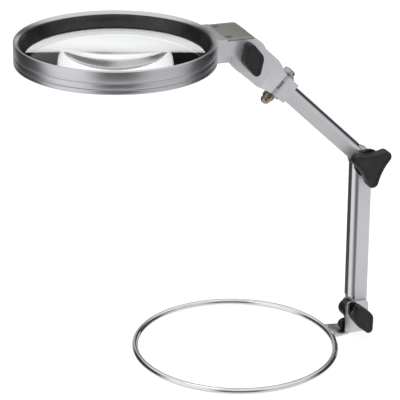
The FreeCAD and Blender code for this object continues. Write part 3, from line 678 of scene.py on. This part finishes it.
@dataclass
class RingBase:
    """The wire ring, the sheet bracket welded to it and the block in the hinge."""

    ring_radius: float = 77.0
    wire: float = 2.15
    reach: float = 100.0
    tab_half: float = 10.5
    ear_half: float = 8.5
    ear_front: float = 11.0
    far_front: float = 4.6
    ear_back: float = 8.0
    ear_height: float = 27.5
    ear_bend: float = 4.0
    knuckle_half: float = 4.9
    lower_lobe: Corner = (-9.4, 6.2)
    upper_lobe: Corner = (-5.0, 18.0)
    bead: float = 1.5
    bead_side: float = 5.5
    bead_half: float = 3.2
    sheet: float = 1.8

    def ring(self) -> None:
        """The wire ring, with the weld beads that hold it on the tab."""
        put_down()
        bpy.ops.mesh.primitive_torus_add(
            major_segments=256,
            minor_segments=24,
            major_radius=self.ring_radius,
            minor_radius=self.wire,
            location=(-self.reach, 0.0, self.wire),
        )
        piece = Workpiece(bpy.context.object, "base_wire")
        for side in (-1, 1):
            middle = side * self.bead_side
            ends = (middle - self.bead_half, middle + self.bead_half)
            bead = Workpiece.rod("Y", self.bead, *ends, (-21.0, 1.9), sides=20)
            bead.softened(1.1, 4)
            piece.plus(bead)
        piece.dressed(CHROME).placed(IN_BASE)
        piece.handed_over("base_wire_ring", "base", "chrome_wire", "base_ring", angle=50)

    def ear_outline(self, front: float, low: float, high: float) -> Workpiece:
        """The outline of an ear, with two round upper corners, from one Y to another."""
        bend = self.ear_bend
        places = [(end, self.ear_height - bend) for end in (front + bend, self.ear_back - bend)]
        corners = [Workpiece.rod("Y", bend, low, high, place) for place in places]
        floor = Workpiece.block((front, low, -1), (self.ear_back, high, 6), "outline")
        return floor.hulled(*corners)

    def bracket(self) -> None:
        """One sheet: a tapered tab with two ears bent up from it."""
        low = (-self.ear_front, -self.ear_half, 0.0)
        piece = Workpiece.block(low, (self.ear_back, self.ear_half, self.ear_height), "bracket")
        piece.bevel(lambda at, way: abs(way.x) > 0.9 and at.z < 0.1, 2.6, 5)
        piece.open_up(
            lambda at, way: way.z > 0.9 or (abs(way.x) > 0.9 and abs(at.y) < self.ear_half - 0.5)
        )
        piece.fitted("SOLIDIFY", thickness=self.sheet, offset=-1.0)
        outline = self.ear_outline(-self.ear_front, -20, 5)
        piece.within(outline.plus(self.ear_outline(-self.far_front, 5, 20)))
        front = -self.reach + self.ring_radius + 1.4
        tab = Workpiece.block((front, -self.ear_half, 0), (-self.ear_front + 3, self.ear_half, self.sheet))
        tab.squeeze(lambda at, way: way.x < -0.9, (1, self.tab_half / self.ear_half, 1), (0, 0, 0))
        piece.plus(tab).softened(0.25, 2)
        piece.dressed(SATIN_BASE, MIRROR_SHEET).painted(lambda at, way: abs(way.y) > 0.8)
        piece.placed(IN_BASE).handed_over("base_tab_bracket", "base", "satin_plate", "base_bracket")

    def knuckle(self) -> None:
        """The moulded block inside the upright's foot."""
        half, foot = self.knuckle_half, self.sheet + 0.05
        low_x, low_z = self.lower_lobe
        high_x, high_z = self.upper_lobe
        lower = Workpiece.rod("Y", 4.4, -half, 0, self.lower_lobe, sides=48)
        upper = Workpiece.rod("Y", 6.5, -half, half, self.upper_lobe, sides=48)
        piece = Workpiece.block((high_x, -half, foot), (-high_x, half, high_z), "knuckle")
        piece.plus(Workpiece.block((low_x, -half, foot), (0, 0, low_z)), lower, upper).softened(0.7, 3)
        piece.dressed(BLACK).placed(IN_BASE).handed_over(
            "base_knuckle_block", "base", "black_plastic", "base_knuckle"
        )


# ------------------------------------------------------------------------------- hand knobs


@dataclass
class HandKnob:
    """A moulded knob on a hinge bolt, with a hub behind it."""

    turn: float
    back: float
    hub: float
    reach: float = 17.0
    tip: float = 4.6
    waist: float = 9.5
    wall: float = 8.6
    bevel: float = 1.1
    hub_radius: float = 7.0

    @property
    def far(self) -> float:
        """Where the grip starts, in front of the hub."""
        return -self.back - self.hub

    @property
    def near(self) -> float:
        """The knob's face."""
        return self.far - self.wall

    @staticmethod
    def polar(radius: float, angle: float) -> Corner:
        """A point in the knob's plane."""
        return radius * math.cos(math.radians(angle)), radius * math.sin(math.radians(angle))

    def grip(self) -> Workpiece:
        """Three round tips joined by three hollow flanks."""
        centre = self.reach - self.tip
        flank = (self.waist**2 + centre**2 - centre * self.waist - self.tip**2) / (
            2 * (self.tip + centre / 2 - self.waist)
        )
        turns = [self.turn + 120 * step for step in range(3)]
        tips = [
            Workpiece.rod("Y", self.tip, self.near, self.far, self.polar(centre, turn), sides=48)
            for turn in turns
        ]
        away = self.waist + flank
        flanks = [
            Workpiece.rod("Y", flank, self.near - 1, self.far + 1, self.polar(away, turn + 60), sides=128)
            for turn in turns
        ]
        return tips[0].hulled(*tips[1:]).less(*flanks)

    def make(self, name: str, body: str, where: Matrix) -> None:
        """Model the knob and put it on its bolt."""
        piece = self.grip().softened(self.bevel, 4)
        near = self.near
        piece.recess(lambda at, way: way.y < -0.99 and at.y < near + 0.05, 1.3, 0.45)
        piece.plus(Workpiece.rod("Y", self.hub_radius, self.far - 1, -self.back))
        piece.less(Workpiece.rod("Y", 5.06, near + 2, -self.back + 1))
        piece.dressed(BLACK).placed(where)
        piece.handed_over(f"{name}_hand_knob", body, "black_plastic", f"{name}_knob", angle=28)


@dataclass
class WingKnob(HandKnob):
    """A knob with two tips and a wider round middle."""

    reach: float = 12.5
    tip: float = 3.3
    waist: float = 7.3

    def grip(self) -> Workpiece:
        """Two round tips drawn together over the middle."""
        centre = self.reach - self.tip
        tips = [
            Workpiece.rod("Y", self.tip, self.near, self.far, self.polar(centre, self.turn + side), sides=48)
            for side in (0, 180)
        ]
        return Workpiece.rod("Y", self.waist, self.near, self.far, sides=72).hulled(*tips)


# --------------------------------------------------------------------------------- channels


@dataclass
class Channel:
    """A pressed channel along Z: a round-cornered web, and two walls with an open edge."""

    web: float
    lip: float
    half: float
    corner: float
    start: float
    end: float
    sheet: float = 1.2

    def shell(self) -> Workpiece:
        """The bent sheet, from a box that loses its ends and its open side."""
        low_x, high_x = sorted((self.web, self.lip))
        piece = Workpiece.block((low_x, -self.half, self.start), (high_x, self.half, self.end))
        piece.bevel(
            lambda at, way: abs(way.z) > 0.9 and abs(at.x - self.web) < 0.01, self.corner, 12
        )
        toward = math.copysign(1, self.lip - self.web)
        piece.open_up(lambda at, way: abs(way.z) > 0.9 or way.x * toward > 0.9)
        return piece.fitted("SOLIDIFY", thickness=self.sheet, offset=-1.0, use_even_offset=True)


@dataclass
class Upright:
    """The post: a channel with round eyes at both hinges."""

    length: float = 127.1
    web: float = -8.0
    lip: float = 7.4
    half: float = 6.4
    notch: float = 14.4

    def make(self) -> None:
        """Model the post, satin on its sides and bright on its web."""
        piece = Channel(self.web, self.lip, self.half, 6.0, -self.lip, self.length + self.lip).shell()
        ends = [Workpiece.rod("Y", self.lip, -8, 8, (0, height)) for height in (0, self.length)]
        piece.within(ends[0].hulled(ends[1]))
        inner = self.half - 1.2
        for side in (-1, 1):
            low, high = sorted((side * inner, side * self.half))
            piece.plus(Workpiece.rod("Y", -self.web, low, high))
        piece.less(Workpiece.block((self.web - 1, -inner, -10), (0, inner, self.notch)))
        piece.softened(0.22, 2)
        piece.dressed(SATIN_UPRIGHT, SOFT_WEB).painted(lambda at, way: way.x < -0.12)
        piece.placed(IN_UPRIGHT).handed_over(
            "upright_post", "upright", "channel_steel", "upright_channel", angle=25
        )


@dataclass
class UpperArm:
    """The arm: a wider channel whose lower end clasps the post, with the collar in its top."""

    web: float = 7.2
    lip: float = 6.2
    corner: float = 6.3
    half: float = 8.4
    eye: float = 8.6
    top: float = 88.6
    notch: float = 14.0
    collar_half: float = 8.6
    collar_eye: float = 8.4
    collar_back: float = 9.0
    collar_soft: float = 1.5
    spigot: float = 18.0
    slot_half: float = 3.3
    slot_low: float = 1.8
    slot_radius: float = 7.1

    def channel(self) -> None:
        """The arm's sheet, bright on its rounded web."""
        piece = Channel(self.web, -self.lip, self.half, self.corner, -self.eye, self.top).shell()
        outline = Workpiece.block((-self.lip, -12, 0), (self.web, 12, self.top + 1))
        outline.plus(Workpiece.rod("Y", self.eye, -12, 12))
        piece.within(outline)
        inner = self.half - 1.2
        for side in (-1, 1):
            low, high = sorted((side * inner, side * self.half))
            piece.plus(Workpiece.rod("Y", self.eye, low, high))
        piece.less(Workpiece.block((0, -inner, -12), (self.web + 3, inner, self.notch)))
        piece.softened(0.22, 2)
        piece.dressed(SATIN_ARM, BRIGHT_WEB).painted(lambda at, way: way.x > 0.12)
        piece.placed(IN_ARM).handed_over(
            "upper_arm_channel", "upper_arm", "channel_steel", "arm_channel", angle=25
        )

    def collar(self) -> None:
        """The cast fork that closes the arm's top and holds the wrist bolt."""
        low = -self.collar_back
        wide, eye = self.collar_half, self.collar_eye
        piece = Workpiece.block((-wide, -eye, low), (wide, eye, 0))
        piece.plus(Workpiece.rod("X", eye, -wide, wide))
        piece.softened(self.collar_soft, 5)
        back, sheet = 0.8 - self.lip, 1.2
        inner, bend = self.half - sheet, self.half - self.corner
        end = low - self.spigot
        spigot = Workpiece.block((back, -inner, end), (self.web - self.corner, inner, low + 2))
        spigot.plus(Workpiece.block((back, -bend, end), (self.web - sheet, bend, low + 2)))
        piece.plus(spigot)
        piece.less(
            Workpiece.block((-self.slot_half, -10, self.slot_low), (self.slot_half, 10, 10)),
            Workpiece.rod("X", self.slot_radius, -self.slot_half, self.slot_half),
            Workpiece.rod("X", WRIST_BOLT, -12, 12, sides=32),
        )
        piece.dressed(SILVER_CAST).placed(IN_NECK)
        piece.handed_over("upper_arm_collar", "upper_arm", "cast_silver", "arm_collar")


# ------------------------------------------------------------------------------------ wrist


@dataclass
class Wrist:
    """The neck between the arm and the head, and the bolt it turns on."""

    half: float = 11.2
    foot: float = 8.4
    radius: float = 12.5
    length: float = 44.0
    seat: float = 9.6
    shoulder: float = 8.0
    shoulder_side: float = 4.5
    shoulder_height: float = 20.0
    foot_side: float = 8.8
    foot_low: float = 4.4
    foot_high: float = 9.0
    collar_room: float = 8.7
    tongue: float = 6.8
    tongue_half: float = 3.0
    tongue_side: float = 4.6
    neck_wall: float = 2.0
    hollow_low: float = 18.0

    def neck(self) -> None:
        """A rounded shoulder on a tongue, hollow towards its underside."""
        eye = Workpiece.rod("Y", self.radius, -self.half, self.half, (0, self.length), sides=96)
        shoulders = [
            Workpiece.rod("Y", self.shoulder, -self.half, self.half, (x, self.shoulder_height), sides=64)
            for x in (-self.shoulder_side, self.shoulder_side)
        ]
        low = (-self.foot_side, -self.foot, self.foot_low)
        foot = Workpiece.block(low, (self.foot_side, self.foot, self.foot_high))
        piece = eye.hulled(*shoulders, foot)
        piece.softened(1.5, 4, 40)
        piece.less(Workpiece.rod("X", self.collar_room, -12, 12, sides=96))
        thick, side = self.tongue_half, self.tongue_side
        tongue = Workpiece.rod("X", self.tongue, -thick, thick)
        tongue.plus(Workpiece.block((-thick, -side, 0), (thick, side, 12)))
        piece.plus(tongue)
        inside = self.half - self.neck_wall
        piece.less(
            Workpiece.block((-16, -inside, self.hollow_low), (self.radius - self.neck_wall, inside, 60)),
            Workpiece.rod("X", WRIST_BOLT + PLAY, -14, 14, sides=32),
            Workpiece.rod("Y", HINGE_BOLT + PLAY, -20, 20, (0, self.length), sides=32),
        )
        piece.softened(0.25, 2, 50)
        piece.dressed(SILVER_CAST).placed(IN_NECK)
        piece.handed_over("wrist_neck_shell", "neck", "cast_silver", "wrist_neck")

    def bolt(self) -> None:
        """The round-headed bolt, with a flange under its head."""
        seat = self.seat
        corners = [
            (2.5, -seat - 5.0),
            (2.5, seat),
            (5.8, seat),
            (5.8, seat + 1.2),
            (4.6, seat + 1.2),
            (4.6, seat + 3.0),
            (4.2, seat + 3.7),
            (3.2, seat + 4.25),
            (1.8, seat + 4.5),
        ]
        piece = Workpiece.lathe(corners, "bolt", 64, closed=False).softened(0.25, 2)
        turn = Matrix.Rotation(math.radians(90), 4, "Y")
        piece.dressed(ZINC).placed(IN_NECK @ turn)
        piece.handed_over("wrist_round_bolt", "upper_arm", "bolt_steel", "wrist_bolt")

    def nut(self) -> None:
        """The acorn nut on the bolt's other end."""
        piece = Workpiece.rod("Z", 4.62, 0, 4, sides=6)
        slopes = [(4.0, -0.01), (4.62, 0.55), (4.62, 3.3), (3.9, 4.0)]
        cone = Workpiece.lathe(slopes, "cone", 48, closed=False)
        piece.within(cone)
        dome = [(3.6, 3.5), (3.6, 5.0)]
        dome += [(3.7 * math.cos(turn / 8), 5.0 + 3.7 * math.sin(turn / 8)) for turn in range(1, 12)]
        piece.plus(Workpiece.lathe(dome, "dome", 48, closed=False))
        piece.less(Workpiece.rod("Z", 2.5, -1, 5, sides=32)).softened(0.12, 1)
        turn = Matrix.Translation((-self.seat * MM, 0, 0)) @ Matrix.Rotation(math.radians(-90), 4, "Y")
        piece.dressed(BRASS).placed(IN_NECK @ turn)
        piece.handed_over("wrist_dome_nut", "upper_arm", "brass", "wrist_acorn_nut")


# ------------------------------------------------------------------------------------- head


@dataclass
class Head:
    """The bracket on the rim, its cover plate and the rim with its lens."""

    reach: float = LENS_REACH
    rim_radius: float = 72.0
    rim_wall: float = 2.3
    top: float = 16.1
    joint: float = 2.7
    bottom: float = -0.8
    groove: float = 0.6
    half: float = 20.0
    slot: float = 12.2
    cheek: float = 13.5
    cover_low: float = 12.8
    cover_top: float = 14.2
    plate_start: float = -17.0
    screw_x: float = -13.5
    lens_radius: float = 65.0
    lens_low: float = 2.2
    lens_high: float = 4.2
    bulge: float = 8.0

    def rim_core(self) -> Workpiece:
        """The cylinder that the rim fills, as a cutting tool."""
        return Workpiece.rod("Z", self.rim_radius + 0.02, -30, 30, (-self.reach, 0.0), sides=256)

    def bracket(self) -> None:
        """The cast bracket with its two cheeks."""
        front = -self.reach + self.rim_radius - 8
        piece = Workpiece.block((front, -self.half, 1.5), (0, self.half, self.cover_low))
        piece.plus(
            Workpiece.block((front, -self.half + 0.8, -3.1), (0, self.half - 0.8, 1.5)),
            Workpiece.rod("Y", self.cheek, -self.half, self.half, sides=96),
        )
        piece.less(
            Workpiece.block((-self.cheek - 0.6, -self.slot, -20), (self.cheek + 1, self.slot, 20)),
            Workpiece.block((front - 1, -30, self.cover_low), (self.cheek + 1, 30, 30)),
        )
        piece.plus(
            Workpiece.block((front, -self.half, 8), (self.plate_start, self.half, self.cover_top))
        )
        piece.softened(0.7, 3)
        piece.less(self.rim_core(), Workpiece.rod("Y", HINGE_BOLT, -30, 30, sides=32))
        piece.dressed(SILVER_CAST).placed(IN_HEAD)
        piece.handed_over("head_cast_bracket", "head", "cast_silver", "head_bracket")

    def cover(self) -> None:
        """The plate over the bracket, with two sunk screw holes."""
        piece = Workpiece.block(
            (self.plate_start, -self.half + 0.6, self.cover_low), (3.9, self.half - 0.6, self.cover_top)
        )
        piece.bevel(lambda at, way: abs(way.z) > 0.9 and at.x > 3, 3.0, 6).softened(0.4, 3)
        holes = []
        for side in (-1, 1):
            sink = [(2.9, self.cover_top + 0.01), (1.9, self.cover_low + 0.3), (1.9, self.cover_low - 1)]
            hole = Workpiece.lathe(sink, "sink", 40, closed=False)
            hole.thing.data.transform(Matrix.Translation((self.screw_x, side * 13.0, 0.0)))
            holes.append(hole)
        piece.less(*holes)
        piece.dressed(COVER).placed(IN_HEAD)
        piece.handed_over("head_cover_plate", "head", "cover_grey", "bracket_cover")

    def rim(self) -> None:
        """The turned rim, in two bands."""
        inner = self.rim_radius - self.rim_wall
        outer = self.rim_radius
        band = self.top - 8.5
        groove = self.groove
        corners = [
            (inner, self.joint),
            (outer - groove, self.joint),
            (outer, self.joint + groove / 2),
            (outer, band - groove),
            (outer - groove, band - groove / 2),
            (outer, band),
            (outer, self.top - 0.7),
            (outer - 0.7, self.top),
            (inner + 0.9, self.top),
            (inner - 1.2, self.top - 2.0),
            (inner - 1.2, self.top - 2.6),
            (inner, self.top - 2.6),
        ]
        piece = Workpiece.lathe(corners, "rim", 224).softened(0.18, 2, 20)
        piece.dressed(RIM).placed(IN_LENS)
        piece.handed_over("lens_rim_band", "head", "rim_silver", "lens_rim")

    def retaining_ring(self) -> None:
        """The ring under the lens."""
        inner = self.rim_radius - self.rim_wall - 0.1
        outer = self.rim_radius
        seat = self.lens_radius - 1.2
        corners = [
            (seat, self.bottom + 0.6),
            (seat + 0.6, self.bottom),
            (outer - 0.6, self.bottom),
            (outer, self.bottom + 0.6),
            (outer, self.joint - self.groove / 2),
            (outer - self.groove, self.joint),
            (inner, self.joint),
            (inner, self.joint + 3),
            (inner - 2, self.joint + 3),
            (inner - 2, self.lens_low),
            (self.lens_radius, self.lens_low),
            (seat, self.lens_low - 0.35),
        ]
        piece = Workpiece.lathe(corners, "ring", 224).softened(0.15, 2, 20)
        piece.dressed(RIM).placed(IN_LENS)
        piece.handed_over("lens_lower_ring", "head", "rim_silver", "lens_retaining_ring")

    def liner(self) -> None:
        """The black ring inside the rim, over the lens edge."""
        inner = self.rim_radius - self.rim_wall
        seat = self.lens_radius - 1.2
        corners = [
            (seat, self.lens_high + 0.36),
            (self.lens_radius, self.lens_high),
            (inner - 2.15, self.lens_high),
            (inner - 2.15, self.joint + 3),
            (inner - 0.1, self.joint + 3),
            (inner - 0.1, self.top - 2.65),
            (inner - 1.9, self.top - 2.65),
            (inner - 3.0, self.top - 5.5),
            (seat + 1.2, self.lens_high + 3.2),
            (seat, self.lens_high + 1.4),
        ]
        piece = Workpiece.lathe(corners, "liner", 224).softened(0.2, 2, 15)
        piece.dressed(LINER_BLACK).placed(IN_LENS)
        piece.handed_over("lens_black_liner", "head", "black_plastic", "lens_liner")

    def lens(self) -> None:
        """The lens, equally curved on both faces."""
        sphere = (self.lens_radius**2 + self.bulge**2) / (2 * self.bulge)
        steps = 28
        under, over = [], []
        for step in range(steps + 1):
            radius = max(self.lens_radius * step / steps, 0.15)
            rise = math.sqrt(sphere**2 - radius**2) - (sphere - self.bulge)
            under.append((radius, self.lens_low - rise))
            over.append((radius, self.lens_high + rise))
        piece = Workpiece.lathe([*under, *reversed(over)], "lens", 192, closed=False)
        piece.dressed(GLASS).placed(IN_LENS)
        piece.handed_over("lens_blank", "head", "lens_glass", "lens", angle=40)
        piece.thing.visible_shadow = False


# ------------------------------------------------------------------------------ small parts


SMALL_PARTS: dict[str, Finish] = {
    "base_washers": ZINC,
    "base_bolt": ZINC,
    "base_knob_insert": BRASS,
    "middle_spacer": ZINC,
    "middle_slip_washers": NYLON,
    "middle_washer": ZINC,
    "middle_bolt": ZINC,
    "middle_knob_insert": BRASS,
    "friction_disc": BLACK,
    "wrist_washers": ZINC,
    "neck_bush": ZINC,
    "cover_screws": ZINC,
    "head_slip_washers": NYLON,
    "head_washers": ZINC,
    "head_bolt": ZINC,
    "head_knob_insert": BRASS,
    "rim_screws": ZINC,
    "lens_gasket": NYLON,
}


def dress_small_parts() -> None:
    """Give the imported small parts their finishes."""
    for name, finish in SMALL_PARTS.items():
        mesh = frame["nodes"][name].data
        mesh.materials.clear()
        mesh.materials.append(finish.make())
    log.info("small parts: %d dressed", len(SMALL_PARTS))


# ----------------------------------------------------------------------------------- studio


@dataclass(frozen=True)
class Panel:
    """A pale panel of the room: its direction in degrees, its spread and its brightness."""

    turn: float
    half: float
    soft: float
    glow: float
    low: float = -1.0
    high: float = 1.0


PANELS = (
    Panel(turn=-163.0, half=27.0, soft=14.0, glow=0.95),
    Panel(turn=-49.0, half=26.0, soft=16.0, glow=0.62),
    Panel(turn=-105.0, half=30.0, soft=20.0, glow=0.10),
    Panel(turn=87.0, half=14.0, soft=10.0, glow=0.42),
    Panel(turn=45.0, half=16.0, soft=4.0, glow=0.9, low=-0.16, high=0.20),
)


@dataclass
class Studio:
    """A pale floor, soft light and the camera."""

    eye: Sequence[float] = (-0.5965, -1.2288, 0.6630)
    look: Sequence[float] = (0.3282, 0.8657, -0.3783)
    roll: float = 0.0148
    lens: float = 172.5
    floor_size: float = 12.0
    gap_glow: float = 0.05
    top_glow: float = 0.95
    floor_glow: float = 0.8

    def floor(self) -> None:
        """A large pale floor."""
        put_down()
        bpy.ops.mesh.primitive_plane_add(size=self.floor_size, location=(0, 0, -0.0003))
        plane = bpy.context.object
        plane.name = "floor"
        material = bpy.data.materials.new("pale_floor")
        recipe = Recipe(material)
        matt = recipe.node("ShaderNodeBsdfDiffuse", {}, Color=(0.35, 0.35, 0.35))
        glow = recipe.node("ShaderNodeEmission", {}, Color=(1.0, 1.0, 1.0), Strength=0.82)
        both = recipe.node("ShaderNodeAddShader", {}, matt, glow)
        recipe.node("ShaderNodeOutputMaterial", {}, Surface=both)
        plane.data.materials.append(material)
        plane.visible_glossy = False

    def room(self) -> None:
        """The room that bright metal shows: pale panels with dark gaps, a pale top and floor."""
        world = bpy.data.worlds.new("studio_room")
        bpy.context.scene.world = world
        recipe = Recipe(world)
        way = recipe.output(recipe.node("ShaderNodeTexCoord"), "Generated")
        parts = recipe.node("ShaderNodeSeparateXYZ", {}, way)
        x, y, z = (recipe.output(parts, letter) for letter in "XYZ")
        level = (x * x + y * y + 0.0001) ** -0.5
        glow: Wire | float = self.gap_glow
        for panel in PANELS:
            turn = math.radians(panel.turn)
            facing = (x * math.cos(turn) + y * math.sin(turn)) * level
            share = facing.between(
                math.cos(math.radians(panel.half + panel.soft)),
                math.cos(math.radians(panel.half - panel.soft)),
            )
            share = share * z.between(panel.low - 0.06, panel.low + 0.06)
            share = share * (1.0 - z.between(panel.high - 0.06, panel.high + 0.06))
            glow = share * panel.glow + glow
        overhead = z.between(0.45, 0.72)
        below = 1.0 - z.between(-0.66, -0.44)
        glow = glow * (1.0 - overhead) * (1.0 - below) + overhead * self.top_glow + below * self.floor_glow
        tint = recipe.blend(glow, (0.0, 0.0, 0.0), (1.0, 1.0, 1.0))
        seen = recipe.node("ShaderNodeLightPath")
        shown = recipe.node(
            "ShaderNodeMix", {"data_type": "RGBA"}, Factor=seen, A=tint, B=(0.98, 0.98, 0.98)
        )
        light = recipe.node("ShaderNodeBackground", {}, Color=shown, Strength=1.0)
        recipe.node("ShaderNodeOutputWorld", {}, Surface=light)

    def lamp(self, name: str, where: Colour, aim: Colour, size: Corner, power: float) -> None:
        """A soft box at a place, turned to another place."""
        light = bpy.data.lights.new(name, "AREA")
        light.shape = "RECTANGLE"
        light.size, light.size_y = size
        light.energy = power
        holder = bpy.data.objects.new(name, light)
        bpy.context.scene.collection.objects.link(holder)
        holder.visible_glossy = False
        holder.location = where
        holder.rotation_euler = (Vector(aim) - Vector(where)).to_track_quat("-Z", "Y").to_euler()

    def camera(self) -> None:
        """The camera, at the place that the object is seen from."""
        ahead = Vector(self.look).normalized()
        flat_right = ahead.cross(Vector((0.0, 0.0, 1.0))).normalized()
        flat_up = flat_right.cross(ahead)
        right = math.cos(self.roll) * flat_right + math.sin(self.roll) * flat_up
        up = math.cos(self.roll) * flat_up - math.sin(self.roll) * flat_right
        data = bpy.data.cameras.new("camera")
        data.lens = self.lens
        data.sensor_width = 36.0
        data.clip_start, data.clip_end = 0.05, 50.0
        holder = bpy.data.objects.new("camera", data)
        bpy.context.scene.collection.objects.link(holder)
        turn = Matrix((right, up, -ahead)).transposed().to_4x4()
        holder.matrix_world = Matrix.Translation(self.eye) @ turn
        bpy.context.scene.camera = holder

    def make(self) -> None:
        """Set up the studio."""
        bpy.context.scene.view_settings.view_transform = "Standard"
        self.camera()
        self.floor()
        self.room()
        self.lamp("top_box", (-0.2, -0.1, 1.5), (-0.1, 0.0, 0.1), (1.3, 1.3), 5.0)
        self.lamp("left_box", (-1.5, -0.9, 0.8), (-0.1, 0.0, 0.15), (0.5, 1.2), 2.5)
        self.lamp("right_box", (1.4, -0.8, 0.9), (0.0, 0.0, 0.15), (0.4, 1.1), 2.0)
        self.lamp("front_box", (-0.2, -1.9, 0.35), (0.0, 0.0, 0.12), (1.4, 0.6), 1.4)
        log.info("studio ready")


def main() -> None:
    """Build the stand from the desk up, and light it."""
    logging.basicConfig(level=logging.INFO, format="%(message)s")
    Studio().make()

    base = RingBase()
    base.ring()
    base.bracket()
    base.knuckle()
    WingKnob(turn=115.0, back=9.8, hub=2.4).make("base", "base_knob", IN_BASE_HINGE)

    Upright().make()
    HandKnob(turn=33.0, back=11.5, hub=0.2).make("middle", "middle_knob", IN_ELBOW)

    arm = UpperArm()
    arm.channel()
    arm.collar()

    wrist = Wrist()
    wrist.neck()
    wrist.bolt()
    wrist.nut()

    head = Head()
    head.bracket()
    head.cover()
    head.rim()
    head.retaining_ring()
    head.liner()
    head.lens()
    WingKnob(turn=104.0, back=21.3, hub=0.6).make("head", "head_knob", IN_HEAD)

    dress_small_parts()
    put_down()


if __name__ == "__main__":
    main()
